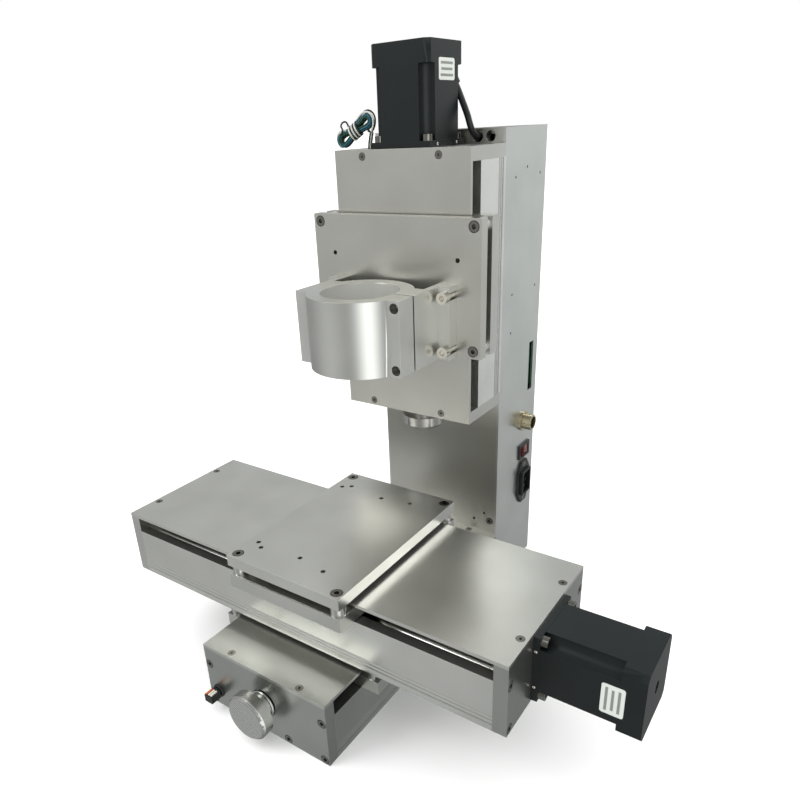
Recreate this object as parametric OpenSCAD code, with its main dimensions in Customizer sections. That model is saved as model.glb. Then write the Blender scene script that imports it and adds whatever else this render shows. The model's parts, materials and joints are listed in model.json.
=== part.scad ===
// Benchtop column-type CNC router. Three linear modules share one section:
// the base module moves the saddle front to back, the cross module moves the
// table left to right, and the upright module on the column moves the clamp
// that holds the spindle. X points right, Y to the back and Z up. The origin
// lies on the bench, straight below the spindle axis.

/* [Linear modules] */
// Width of each module's extrusion
rail_w = 135; // [125:1:165]
// Height of each module, from its back to the face of its cover
rail_h = 62; // [56:1:76]
// Length of the base module, front to back
base_len = 290; // [270:1:350]
// Length of the cross module, left to right
cross_len = 393; // [325:1:480]
// Length of the upright module
upright_len = 234; // [210:1:234]
// Thickness of the end plates
end_t = 11; // [9:0.5:13]
// Thickness of the extrusion's side walls
wall_t = 6; // [5:0.5:8]
// Thickness of the extrusion's floor
floor_t = 8; // [7.6:0.2:10]
// Thickness of the flat cover
cover_t = 3; // [2.5:0.5:4]
// Height of the slot between the side wall and the cover
slot_h = 14; // [12:0.5:17]
// Distance between the two cover screws at one end
cover_screw_span = 76; // [60:1:100]

/* [Carriages and plates] */
// Size of each carriage and plate along its travel
plate_len = 115; // [95:1:125]
// How far each carriage and plate reaches past the module's sides
plate_over = 17.5; // [15.5:0.5:32]
// Thickness of the plates
plate_t = 10; // [8:0.5:12]
// Gap between a plate and the cover below it
plate_gap = 4; // [3:0.5:6]
// Diameter of the spacers between carriage and plate
spacer_d = 12; // [10.5:0.5:14]
// Distance from a plate's long edge to its corner screws
corner_across = 7; // [6:0.5:10]
// Distance from a plate's short edge to its corner screws
corner_along = 6.5; // [6:0.5:10]
// Length of the bearing block under each carriage
block_len = 60; // [44:1:64]

/* [Rest position] */
// Y of the saddle's centre
saddle_y = -60.5; // [-80:0.5:0]
// X of the cross module's centre
cross_x = 4.4; // [-20:0.2:20]
// Offset of the table from the cross module's centre
table_offset = 12.4; // [-60:0.2:60]
// Height of the upright plate's centre
head_z = 336; // [320:1:350]

/* [Column] */
// Height of the column
column_h = 457; // [457:1:520]
// Width of the column
column_w = 134; // [134:1:150]
// Depth of the column
column_d = 87; // [84:1:120]
// Thickness of the column's front plate
front_t = 10; // [8:0.5:12]
// Thickness of the column's sheet housing
sheet_t = 2; // [1.5:0.5:3]
// Distance from the column's front face to the spindle axis
reach = 126; // [126:1:150]
// Height of the upright module's lower end
upright_z = 211; // [200:1:211]

/* [Drive] */
// Diameter of the guide rods
rod_d = 16; // [12:1:16]
// Distance between the two guide rods of a module
rod_span = 80; // [76:1:84]
// Diameter of the lead screws
screw_d = 16; // [12:1:16]
// Diameter of the shaft couplers
coupler_d = 20; // [18:1:22]
// Length of the shaft couplers
coupler_len = 24; // [20:1:26]
// Width of a stepper motor's flange
motor_w = 57; // [56:0.5:58]
// Length of the cross and upright motors
motor_len = 78; // [56:1:100]
// Length of the base motor inside the column
base_motor_len = 56; // [41:1:70]
// Distance between two bolts of a motor flange
motor_bolt_span = 47.14; // [46:0.01:48]
// Diameter of a motor's centring ring
pilot_d = 38.1; // [37:0.1:39]
// Diameter of a motor's shaft
shaft_d = 6.35; // [5:0.05:8]
// Diameter of the hand knobs
knob_d = 41; // [36:1:52]
// Thickness of a hand knob's disc
knob_t = 11; // [9:0.5:20]
// Length of a hand knob's neck outside the end plate
neck_len = 11; // [8:0.5:14]

/* [Spindle clamp] */
// Diameter of the bore that holds the spindle
clamp_bore = 65; // [48:1:67]
// Distance from the upright plate's face to the bore's axis
clamp_reach = 50; // [46:1:60]
// Height of the clamp
clamp_h = 62; // [54:1:75]
// Wall of the clamp's ring
ring_wall = 12.5; // [9:0.5:14]
// Half width of the clamp's body
body_half = 52; // [50:0.5:54]
// Half width of the clamp's mounting flange
flange_half = 62.5; // [62:0.5:68]
// Thickness of the mounting flange
flange_t = 13; // [10:0.5:15]
// Width of the slit
slit_w = 2; // [1.5:0.5:3]

/* [Hidden] */
$fn = 64;
fit = 0.05;                 // radial clearance of a running fit
seat = 0.1;                 // clearance round a screw, bearing or plug in its hole
head_gap = 0.6;             // clearance round a screw's head in its counterbore
eps = 0.01;
silver = [0.68, 0.68, 0.66];
steel = [0.78, 0.78, 0.77];
black = [0.10, 0.11, 0.12];
brass = [0.72, 0.60, 0.34];

// Sections of a module
wall_top = rail_h - cover_t - slot_h;
plate_w = rail_w + 2 * plate_over;
screw_z = rail_h / 2;
rod_z = 27;
slab_clear = 1.1;
slab_t = slot_h - 2 * slab_clear;
slab_z = wall_top + slab_clear;
slab_top = slab_z + slab_t;
plate_z = rail_h + plate_gap;
block_z = floor_t + 5;
block_half = rail_w / 2 - wall_t - 5.5;
nut_r = screw_d / 2 + 3.5;
nut_len = 23;
nut_flange_t = 8;
groove_side = 1.4;
groove_pitch = 3.4;
groove_z = 5;

// Screws: shank diameter, head diameter and head height
m3 = [3, 5.5, 3];
m4 = [4, 7, 4];
m5 = [5, 8.5, 5];
m5_slim = [5, 7, 5];
m6 = [6, 10, 6];
m3_flat = [3, 6, 1.6];
m4_flat = [4, 7, 2];
end_screw_len = 22;
screw_port = 9;
end_screws = [for (s = [-1, 1])
    each [[s * (rail_w / 2 - screw_port / 2), wall_top - 2.6],
          [s * (rail_w / 2 - screw_port / 2), floor_t / 2 + 0.3],
          [s * 24, floor_t / 2]]];

// Places of the modules
column_y = reach;
base_front = column_y - base_len;
base_mid = base_front + base_len / 2;
upright_mid = upright_z + upright_len / 2;
cross_z = plate_z + plate_t;
table_x = cross_x + table_offset;
head_face_y = column_y - plate_z - plate_t;
column_back = column_y + column_d;
panel_x = column_w / 2;
inner_x = panel_x - sheet_t;

// Ends of a module's turning parts
coupler_in = 3;
journal_r = 4;
tail_r = 5;
bearing_r = 11;
bearing_t = 7;
coupler_pass = coupler_d / 2 + 2;
knob_pass = 13;
knob_sink = 3;

// Threaded holes in the table, as offsets from its centre
table_hole_r = 2;
table_holes = [for (x = [-40.8, 25], y = [-62, 62]) [x, y]];
table_holes_inner = [for (x = [-48.3, -2.8], y = [-57, 57]) [x, y]];
head_holes_x = 63.3;
head_holes_up = 24;

// Clamp
clamp_y = head_face_y - clamp_reach;
clamp_z = head_z - plate_len / 2;
ring_r = clamp_bore / 2 + ring_wall;
ear_front = 21;
clamp_bolt_x = (ring_r + body_half) / 2 - 1.2;
clamp_bolt_off = 25;
clamp_bolt_in = 13;
mount_bolt_x = flange_half - 3.5;
mount_bolt_off = 23;
notch_w = m6[0] + 4 * seat;
bore_bevel = 0.8;
clamp_mid = clamp_z + clamp_h / 2;

// Electrical pieces on the column's right side
port_y = column_back - 15;
port_z = 228.4;
port_h = 51.6;
port_w = 10;
socket_y = column_back - 29.5;
socket_z = 171.7;
switch_y = column_back - 25;
switch_z = 136;
inlet_y = column_back - 25;
inlet_z = 99;
inlet_screw = 20;
panel_holes = [[-41.3, 423.2], [-64.9, 415.9], [-12.6, 416.3], [-13.3, 311.9], [-65.3, 312.3], [-65.2, 275.3]];
front_screws = [for (x = [-1, 1], z = [75.4, 440]) [x * (inner_x - 5.5), z]];
rocker_tilt = 10;
rocker_pin_x = panel_x - 2.5;
cable_holes_x = [40.9, 52.8];
cable_hole_z = column_h - 6.4;
cable_hole_r = 4.5;
lead_hole = [-56.2, 15.7];
hank_hole = [-44, column_y - 41];

// Route of the upright motor's lead, from the motor's back to the column
motor_lead_d = 5.4;
motor_lead = [[22.9, 118.6, 492.2], [25.3, 118.6, 487.6], [27.7, 118.2, 483], [30.1, 117.6, 478.5],
    [32.6, 116.8, 474.1], [34.9, 115.9, 470], [36.9, 115, 466.4], [38.4, 114.3, 462.8],
    [39.4, 115.1, 458.7], [40.1, 117.2, 455], [40.6, 120.6, 452.2], [40.9, 124.6, 450.8],
    [40.9, 129, 450.6], [40.9, 135, 450.6]];
lead_tilt = atan2(motor_lead[1][0] - motor_lead[0][0], motor_lead[0][2] - motor_lead[1][2]);

// Route of the sensor wires, from the top plate up into their hank
wire_d = 3.4;
hank_lead = [[-44, 85, 440], [-44, 85, 446], [-43.4, 84.8, 450], [-42, 84.4, 454.5],
    [-41.2, 84, 459], [-41.6, 83.4, 463]];
hank_ends = [[-64, 77, 453.5], [-44, 82, 467]];
hank_r = 8;

// ---------- Shapes that repeat ----------

// Puts a flat outline upright, so that it runs len along X from x0
module along_x(x0, len) {
    translate([x0, 0, 0]) rotate([90, 0, 90]) linear_extrude(len) children();
}

// A round bar along X
module bar_x(x0, x1, r, z = 0, y = 0) {
    translate([x0, y, z]) rotate([0, 90, 0]) cylinder(h = x1 - x0, r = r);
}

// A socket head screw standing on Z = 0 with its shank below
module cap_screw(size, len) {
    difference() {
        union() {
            cylinder(h = size[2], d = size[1]);
            translate([0, 0, -len]) cylinder(h = len + eps, d = size[0]);
        }
        translate([0, 0, size[2] * 0.4]) cylinder(h = size[2], d = size[1] * 0.52, $fn = 6);
    }
}

// The hole for a socket head screw whose head starts at Z = 0
module cap_screw_hole(size, len, above) {
    cylinder(h = above, d = size[1] + 2 * head_gap);
    translate([0, 0, -len]) cylinder(h = len + 1, d = size[0] + 2 * seat);
}

// A countersunk screw whose top face lies on Z = 0
module flat_screw(size, len) {
    difference() {
        union() {
            translate([0, 0, -size[2]]) cylinder(h = size[2], d1 = size[0], d2 = size[1]);
            translate([0, 0, -len]) cylinder(h = len - size[2] + eps, d = size[0]);
        }
        translate([0, 0, -size[2] * 0.7]) cylinder(h = size[2], d = size[0] * 0.6, $fn = 6);
    }
}

// The hole for a countersunk screw, with its rim on Z = 0
module flat_screw_hole(size, len) {
    translate([0, 0, -size[2]]) cylinder(h = size[2] + eps, d1 = size[0], d2 = size[1] + eps);
    translate([0, 0, -len]) cylinder(h = len, d = size[0] + 2 * seat);
    cylinder(h = 1, d = size[1] + eps);
}

// Repeats a piece at the four corners of a rectangle
module at_corners(dx, dy) {
    for (x = [-dx, dx], y = [-dy, dy]) translate([x, y, 0]) children();
}

// Places of the three modules. Inside each, X runs along the travel with the
// motor at its high end, Y runs across and Z from the module's back to its cover.
module at_base() { translate([0, base_mid, 0]) rotate([0, 0, 90]) children(); }
module at_cross() { translate([cross_x, saddle_y, cross_z]) children(); }
module at_upright() { translate([0, column_y, upright_mid]) rotate([0, -90, 90]) children(); }

// Places of the three carriages, each in its own module
module at_saddle() { at_base() translate([saddle_y - base_mid, 0, 0]) children(); }
module at_table() { at_cross() translate([table_offset, 0, 0]) children(); }
module at_head() { at_upright() translate([head_z - upright_mid, 0, 0]) children(); }

// ---------- Pieces of a linear module ----------

// The walls carry thicker ports along their top for the end plates' screws
module channel_section() {
    difference() {
        translate([-rail_w / 2, 0]) square([rail_w, wall_top]);
        translate([-rail_w / 2 + wall_t, floor_t])
            square([rail_w - 2 * wall_t, wall_top - floor_t - screw_port]);
        translate([-rail_w / 2 + screw_port, floor_t]) square([rail_w - 2 * screw_port, rail_h]);
        for (s = [-1, 1], i = [0:2])
            translate([s * rail_w / 2, groove_z + i * groove_pitch]) rotate(45) square(groove_side, center = true);
    }
}

module channel(len) {
    inner = len - 2 * end_t;
    color(silver) difference() {
        along_x(-inner / 2, inner) channel_section();
        for (s = [-1, 1], p = end_screws)
            translate([s * (inner / 2 - 6), p[0], p[1]]) rotate([0, 90, 0])
                cylinder(h = 2 * end_screw_len, d = m4[0] + 2 * seat, center = true);
    }
}

module cover(len) {
    color(silver) difference() {
        translate([-len / 2, -rail_w / 2, rail_h - cover_t]) cube([len, rail_w, cover_t]);
        translate([0, 0, rail_h]) at_corners(len / 2 - end_t / 2, cover_screw_span / 2) flat_screw_hole(m4_flat, 10);
    }
}

// side is -1 for the end with the bearing and 1 for the end with the motor
module end_plate(len, side) {
    out = side * len / 2;
    h = rail_h - cover_t;
    color(silver) difference() {
        translate([out - (side > 0 ? end_t : 0), -rail_w / 2, 0]) cube([end_t, rail_w, h]);
        for (p = end_screws)
            translate([out - side * m4[2], p[0], p[1]]) rotate([0, side * 90, 0]) cap_screw_hole(m4, end_t, m4[2] + 1);
        for (y = [-1, 1])
            translate([side * (len / 2 - end_t / 2), y * cover_screw_span / 2, h - 10])
                cylinder(h = 20, d = m4_flat[0] + 2 * seat);
    }
}

module motor_side_plate(len, piloted) {
    difference() {
        end_plate(len, 1);
        bar_x(len / 2 - end_t - 1, len / 2 + 1, coupler_pass, screw_z);
        if (piloted) {
            bar_x(len / 2 - 2, len / 2 + 1, pilot_d / 2 + seat, screw_z);
            translate([len / 2, 0, screw_z]) rotate([0, 90, 0]) motor_bolt_holes();
        }
    }
}

module bearing_side_plate(len, open) {
    difference() {
        end_plate(len, -1);
        bar_x(-len / 2 + end_t - bearing_t, -len / 2 + end_t + 1, bearing_r + seat, screw_z);
        if (open) {
            bar_x(-len / 2 - 1, -len / 2 + end_t, journal_r + 2, screw_z);
            bar_x(-len / 2 - 1, -len / 2 + knob_sink, knob_pass, screw_z);
        } else {
            bar_x(-len / 2 + 2, -len / 2 + end_t, journal_r + 2, screw_z);
        }
    }
}

module end_plate_screws(len) {
    for (s = [-1, 1], p = end_screws)
        translate([s * (len / 2 - m4[2]), p[0], p[1]]) rotate([0, s * 90, 0]) cap_screw(m4, end_screw_len - 8);
}

module cover_screws(len) {
    translate([0, 0, rail_h]) at_corners(len / 2 - end_t / 2, cover_screw_span / 2) flat_screw(m4_flat, 9);
}

module guide_rods(len) {
    inner = len - 2 * end_t;
    color(steel) for (y = [-1, 1]) bar_x(-inner / 2, inner / 2, rod_d / 2, rod_z, y * rod_span / 2);
}

module bearing(len) {
    x0 = -len / 2 + end_t - bearing_t;
    color(steel) difference() {
        bar_x(x0, x0 + bearing_t, bearing_r, screw_z);
        bar_x(x0 - 1, x0 + bearing_t + 1, journal_r + fit, screw_z);
        difference() {
            bar_x(x0 + bearing_t - 0.6, x0 + bearing_t + 1, bearing_r - 2, screw_z);
            bar_x(x0, x0 + bearing_t + 2, journal_r + 2, screw_z);
        }
    }
}

// A lead screw with its two journals. tail is how far it passes the module's low end.
module lead_screw(len, tail) {
    low = -len / 2 + end_t + 1;
    high = len / 2 - coupler_in - coupler_len;
    color(steel) {
        bar_x(low, high, screw_d / 2, screw_z);
        bar_x(-len / 2 - tail, low + eps, journal_r, screw_z);
        bar_x(high - eps, high + coupler_len / 2 - 1, tail_r, screw_z);
    }
}

module coupler(len) {
    x1 = len / 2 - coupler_in;
    x0 = x1 - coupler_len;
    mid = x0 + coupler_len / 2;
    color(silver) difference() {
        bar_x(x0, x1, coupler_d / 2, screw_z);
        bar_x(x0 - 1, mid - 1, tail_r + fit, screw_z);
        bar_x(mid + 1, x1 + 1, shaft_d / 2 + fit, screw_z);
        for (x = [x0 + 4, x1 - 4]) translate([x, 0, screw_z]) cylinder(h = coupler_d, r = 1.6);
    }
}

module knob(len) {
    face = -len / 2 + knob_sink / 2;
    disc = -len / 2 - neck_len;
    bevel = 2.5;
    color(silver) difference() {
        union() {
            bar_x(disc, face, 11, screw_z);
            bar_x(disc - knob_t + bevel, disc + eps, knob_d / 2, screw_z);
            translate([disc - knob_t, 0, screw_z]) rotate([0, 90, 0])
                cylinder(h = bevel + eps, r1 = knob_d / 2 - bevel, r2 = knob_d / 2);
        }
        bar_x(-len / 2 - neck_len - 6, face + 1, journal_r + fit, screw_z);
    }
}

// ---------- Stepper motors ----------

// The four holes of a motor flange that lies on Z = 0
module motor_bolt_holes() {
    at_corners(motor_bolt_span / 2, motor_bolt_span / 2)
        cylinder(h = 60, d = m5[0] + 2 * seat, center = true);
}

// The stack between a motor's flange and its rear cap has its four corners cut away
module motor_stack_outline(w) {
    difference() {
        square([w, w], center = true);
        at_corners(w / 2, w / 2) square([19, 19], center = true);
    }
}

module motor_cap_outline(w) {
    intersection() {
        square([w, w], center = true);
        rotate(45) square(w * 1.31, center = true);
    }
}

// A motor whose flange lies on the plane X = 0 and whose body points to high X
module motor(len) {
    flange = 5;
    cap = 17;
    body_w = motor_w - 0.6;
    color(black) difference() {
        union() {
            translate([0, -motor_w / 2, -motor_w / 2]) cube([flange, motor_w, motor_w]);
            along_x(flange - eps, len - flange + eps) motor_stack_outline(body_w);
            along_x(len - cap, cap) motor_cap_outline(body_w);
            bar_x(-1.6, eps, pilot_d / 2);
        }
        bar_x(-2, len + 1, shaft_d / 2 + 0.075);
        bar_x(len - 2, len + 1, shaft_d / 2 + 1.5);
        rotate([0, 90, 0]) at_corners(motor_bolt_span / 2, motor_bolt_span / 2)
            translate([0, 0, -1]) cylinder(h = flange + 2, d = m5[0] + 2 * seat);
    }
}

// The shaft of a motor on the plane X = 0, up to a coupler whose outer end lies at x_end
module motor_shaft(len, x_end) {
    color(steel) bar_x(x_end - coupler_len / 2 + 1, len - 1.5, shaft_d / 2);
}

module motor_screws(plate) {
    translate([5, 0, 0]) rotate([0, 90, 0])
        at_corners(motor_bolt_span / 2, motor_bolt_span / 2) cap_screw(m5, plate + 4);
}

// ---------- Carriages ----------

module carriage() {
    color(silver) difference() {
        union() {
            translate([-plate_len / 2, -plate_w / 2, slab_z]) cube([plate_len, plate_w, slab_t]);
            translate([-block_len / 2, -block_half, block_z]) cube([block_len, 2 * block_half, slab_z - block_z + eps]);
            translate([0, 0, slab_top - eps])
                at_corners(plate_len / 2 - corner_along, plate_w / 2 - corner_across)
                    cylinder(h = plate_z - slab_top + eps, d = spacer_d);
        }
        for (y = [-1, 1])
            bar_x(-block_len, block_len, rod_d / 2 + fit, rod_z, y * rod_span / 2);
        bar_x(-block_len, block_len, screw_d / 2 + 1.5, screw_z);
        bar_x(-block_len, -block_len / 2 + nut_len + 1, nut_r + seat, screw_z);
        translate([0, 0, plate_z])
            at_corners(plate_len / 2 - corner_along, plate_w / 2 - corner_across)
                translate([0, 0, -20]) cylinder(h = 40, d = m5[0] + 2 * seat);
    }
}

// The nut: its body sits in the carriage's block and its flange on the block's end
module drive_nut() {
    color(brass) difference() {
        union() {
            bar_x(-block_len / 2 - nut_flange_t, -block_len / 2, slab_z - screw_z - 0.5, screw_z);
            bar_x(-block_len / 2 - eps, -block_len / 2 + nut_len, nut_r, screw_z);
        }
        bar_x(-block_len, block_len, screw_d / 2 + fit, screw_z);
    }
}

module plain_plate() {
    difference() {
        translate([-plate_len / 2, -plate_w / 2, plate_z]) cube([plate_len, plate_w, plate_t]);
        translate([0, 0, plate_z + plate_t - m5[2]])
            at_corners(plate_len / 2 - corner_along, plate_w / 2 - corner_across) cap_screw_hole(m5, plate_t, m5[2] + 1);
    }
}

module plate_screws() {
    translate([0, 0, plate_z + plate_t - m5[2]])
        at_corners(plate_len / 2 - corner_along, plate_w / 2 - corner_across) cap_screw(m5, 20);
}

// ---------- Base module ----------

module base_channel() { at_base() channel(base_len); }
module base_cover() { at_base() cover(base_len); }
module base_guide_rods() { at_base() guide_rods(base_len); }
module base_rear_plate() { at_base() motor_side_plate(base_len, false); }

module base_front_plate() {
    difference() {
        at_base() bearing_side_plate(base_len, true);
        translate([lead_hole[0], base_front - 1, lead_hole[1]]) rotate([-90, 0, 0]) cylinder(h = end_t + 2, r = 4.2);
    }
}

// A small plug on the sensor lead that comes out of the base's front plate
module front_plug() {
    color(black) translate([lead_hole[0], base_front, lead_hole[1]]) {
        translate([0, end_t + 2, 0]) rotate([90, 0, 0]) cylinder(h = end_t + 6, r = 3.9);
        translate([-4.5, -13, -3.5]) cube([9, 10, 7]);
    }
}

module base_lead_screw() { at_base() lead_screw(base_len, neck_len + 6); }
module base_coupler() { at_base() coupler(base_len); }
module base_knob() { at_base() knob(base_len); }
module base_motor() { at_base() translate([base_len / 2 + front_t, 0, screw_z]) motor(base_motor_len); }
module base_motor_shaft() {
    at_base() translate([base_len / 2 + front_t, 0, screw_z]) motor_shaft(base_motor_len, -front_t - coupler_in);
}

// ---------- Saddle and cross module ----------

module saddle_carriage() { at_saddle() carriage(); }
module saddle_nut() { at_saddle() drive_nut(); }
module saddle_plate() { color(silver) at_saddle() plain_plate(); }
module cross_channel() { at_cross() channel(cross_len); }
module cross_cover() { at_cross() cover(cross_len); }
module cross_left_plate() { at_cross() bearing_side_plate(cross_len, false); }
module cross_right_plate() { at_cross() motor_side_plate(cross_len, true); }
module cross_guide_rods() { at_cross() guide_rods(cross_len); }
module cross_bearing() { at_cross() bearing(cross_len); }
module cross_lead_screw() { at_cross() lead_screw(cross_len, -4); }
module cross_coupler() { at_cross() coupler(cross_len); }
module cross_motor() { at_cross() translate([cross_len / 2, 0, screw_z]) motor(motor_len); }
module cross_motor_shaft() {
    at_cross() translate([cross_len / 2, 0, screw_z]) motor_shaft(motor_len, -coupler_in);
}

module cross_screws() {
    color(steel) {
        at_cross() end_plate_screws(cross_len);
        at_cross() cover_screws(cross_len);
        at_cross() translate([cross_len / 2, 0, screw_z]) motor_screws(end_t - 5);
        at_saddle() plate_screws();
    }
}

// ---------- Table ----------

module table_carriage() { at_table() carriage(); }
module table_nut() { at_table() drive_nut(); }
module table_screws() { color(steel) at_table() plate_screws(); }

module table_plate() {
    color(silver) at_table() difference() {
        plain_plate();
        for (p = concat(table_holes, table_holes_inner))
            translate([p[0], p[1], plate_z - 1]) cylinder(h = plate_t + 2, r = table_hole_r);
    }
}

// ---------- Upright module ----------

module upright_channel() { at_upright() channel(upright_len); }
module upright_cover() { at_upright() cover(upright_len); }
module upright_bottom_plate() { at_upright() bearing_side_plate(upright_len, true); }
module upright_guide_rods() { at_upright() guide_rods(upright_len); }

module upright_top_plate() {
    difference() {
        at_upright() motor_side_plate(upright_len, true);
        translate([hank_hole[0], hank_hole[1], upright_z + upright_len - end_t - 1])
            cylinder(h = end_t + 2, d = wire_d + 1);
    }
}

module upright_lead_screw() { at_upright() lead_screw(upright_len, neck_len + 6); }
module upright_coupler() { at_upright() coupler(upright_len); }
module upright_knob() { at_upright() knob(upright_len); }

// The upright motor, with the tilted boss that its lead leaves from
module upright_motor() {
    at_upright() translate([upright_len / 2, 0, screw_z]) motor(motor_len);
    color(black) translate(motor_lead[0]) rotate([0, -lead_tilt, 0]) cylinder(h = 9, d = motor_lead_d + 3);
}

module upright_motor_shaft() {
    at_upright() translate([upright_len / 2, 0, screw_z]) motor_shaft(motor_len, -coupler_in);
}

// The two bearings that the frame holds, one for each lead screw on it
module frame_bearings() {
    at_base() bearing(base_len);
    at_upright() bearing(upright_len);
}

// ---------- Head ----------

module head_carriage() { at_head() carriage(); }
module head_nut() { at_head() drive_nut(); }
module head_screws() { color(steel) at_head() plate_screws(); }

module head_plate() {
    color(silver) difference() {
        at_head() plain_plate();
        for (x = [-1, 1])
            translate([x * head_holes_x, head_face_y - 1, head_z + head_holes_up]) rotate([-90, 0, 0])
                cylinder(h = plate_t + 2, r = table_hole_r);
        for (x = [-1, 1], z = [-1, 1])
            translate([x * mount_bolt_x, head_face_y - 1, clamp_mid + z * mount_bolt_off]) rotate([-90, 0, 0])
                cylinder(h = plate_t + 1 - eps, d = m6[0] + 2 * seat);
    }
}

module clamp_outline() {
    difference() {
        union() {
            circle(r = ring_r, $fn = 96);
            translate([-body_half, -ear_front]) square([2 * body_half, ear_front + clamp_reach - flange_t]);
            translate([-flange_half, clamp_reach - flange_t]) square([2 * flange_half, flange_t]);
        }
        difference() {
            translate([-ring_r - 1, ring_r * 0.55]) square([2 * ring_r + 2, clamp_reach]);
            circle(r = ring_r, $fn = 96);
        }
        translate([0, -slit_w / 2]) square([flange_half, slit_w]);
    }
}

module spindle_clamp() {
    color(silver) translate([0, clamp_y, clamp_z]) difference() {
        linear_extrude(clamp_h) clamp_outline();
        translate([0, 0, -1]) cylinder(h = clamp_h + 2, d = clamp_bore, $fn = 96);
        translate([0, 0, -eps]) cylinder(h = bore_bevel + eps, r1 = clamp_bore / 2 + bore_bevel, r2 = clamp_bore / 2);
        translate([0, 0, clamp_h - bore_bevel])
            cylinder(h = bore_bevel + eps, r1 = clamp_bore / 2, r2 = clamp_bore / 2 + bore_bevel);
        for (z = [-1, 1]) {
            translate([clamp_bolt_x, clamp_bolt_in - ear_front, clamp_h / 2 + z * clamp_bolt_off]) rotate([90, 0, 0])
                cap_screw_hole(m5_slim, 29, 20);
            for (s = [-1, 1])
                translate([s * mount_bolt_x, clamp_reach + 1, clamp_h / 2 + z * mount_bolt_off]) rotate([90, 0, 0]) {
                    cylinder(h = flange_t + 2, d = notch_w);
                    translate([s > 0 ? 0 : -10, -notch_w / 2, 0]) cube([10, notch_w, flange_t + 2]);
                    translate([0, 0, flange_t + 1]) cylinder(h = 30, d = m6[1] + 8 * seat);
                }
        }
    }
}

// The two screws that close the clamp on the spindle
module clamp_screws() {
    color(steel) for (z = [-1, 1])
        translate([clamp_bolt_x, clamp_y + clamp_bolt_in - ear_front, clamp_mid + z * clamp_bolt_off])
            rotate([90, 0, 0]) cap_screw(m5_slim, 25);
}

// The four screws that hold the clamp on the head plate
module clamp_mount_screws() {
    color(steel) for (x = [-1, 1], z = [-1, 1])
        translate([x * mount_bolt_x, head_face_y - flange_t, clamp_mid + z * mount_bolt_off]) rotate([90, 0, 0])
            cap_screw(m6, flange_t + 8);
}

// ---------- Column ----------

module column_front_plate() {
    color(silver) difference() {
        translate([-inner_x, column_y, 0]) cube([2 * inner_x, front_t, column_h]);
        translate([0, column_y - 1, screw_z]) rotate([-90, 0, 0]) {
            cylinder(h = front_t + 2, r = coupler_pass);
            translate([0, 0, front_t - 1]) cylinder(h = 3, d = pilot_d + 2 * seat);
            motor_bolt_holes();
        }
        for (x = cable_holes_x)
            translate([x, column_y - 1, cable_hole_z]) rotate([-90, 0, 0]) cylinder(h = front_t + 2, r = cable_hole_r);
        for (p = front_screws)
            translate([p[0], column_y + m4[2], p[1]]) rotate([90, 0, 0]) cap_screw_hole(m4, front_t, m4[2] + 1);
        translate([52.9, column_y - 1, 83.4]) rotate([-90, 0, 0]) cylinder(h = 8, r = 1.5);
        translate([41.4, column_y - 1, 74]) rotate([-90, 0, 0]) cylinder(h = 8, r = 1.5);
    }
}

// The sheet housing: both sides and the back, bent from one piece, with its cut-outs
module column_housing() {
    color(silver) difference() {
        translate([-panel_x, column_y, 0]) cube([column_w, column_d, column_h]);
        translate([-inner_x, column_y - 1, -1]) cube([2 * inner_x, column_d - sheet_t + 1, column_h + 2]);
        translate([inner_x - 1, port_y - port_w / 2, port_z - port_h / 2]) cube([5, port_w, port_h]);
        translate([0, socket_y, socket_z]) rotate([0, 90, 0]) cylinder(h = 100, r = 8 + seat);
        translate([inner_x - 1, switch_y - 9.5, switch_z - 6.5]) cube([5, 19, 13]);
        translate([inner_x - 1, inlet_y - 10.2, inlet_z - 14.2]) cube([5, 20.4, 28.4]);
        for (z = [-1, 1])
            translate([0, inlet_y, inlet_z + z * inlet_screw]) rotate([0, 90, 0]) cylinder(h = 100, d = m3_flat[0] + 2 * seat);
        for (p = panel_holes)
            translate([0, column_back + p[0], p[1]]) rotate([0, 90, 0]) cylinder(h = 100, r = 1.2);
    }
}

module column_lid() {
    color(silver) translate([-inner_x, column_y + front_t, column_h - 5])
        cube([2 * inner_x, column_d - front_t - sheet_t, 2]);
}

module power_supply() {
    color([0.6, 0.62, 0.62]) difference() {
        translate([-50, column_y + front_t, 285]) cube([100, 40, 130]);
        for (i = [-5:5]) translate([i * 8 - 2, column_y + front_t + 36, 300]) cube([4, 6, 90]);
    }
}

module controller_board() {
    board_y = column_back - sheet_t - 8;
    color([0.08, 0.30, 0.16]) {
        translate([-45, board_y, 192]) cube([100, 1.6, 74]);
        for (x = [-40, 50], z = [197, 261])
            translate([x, board_y + 1.5, z]) rotate([-90, 0, 0]) cylinder(h = 6.5, r = 3);
        translate([-35, board_y - 14, 200]) cube([60, 14.1, 24]);
        for (x = [-35, -13, 9]) translate([x, board_y - 8, 232]) cube([16, 8.1, 20]);
        translate([inner_x - 14, port_y - 4, port_z - 23]) cube([12, board_y - port_y + 5, 46]);
    }
}

// The round screw-on socket, with four pins in its cup
module signal_socket() {
    color(brass) translate([panel_x, socket_y, socket_z]) rotate([0, 90, 0]) {
        difference() {
            union() {
                translate([0, 0, -18]) cylinder(h = 30, r = 8);
                cylinder(h = 2.5, r = 10.5);
            }
            translate([0, 0, 3]) cylinder(h = 20, r = 6.2);
        }
        at_corners(2.4, 2.4) translate([0, 0, 2.9]) cylinder(h = 6, r = 0.8);
    }
}

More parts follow.
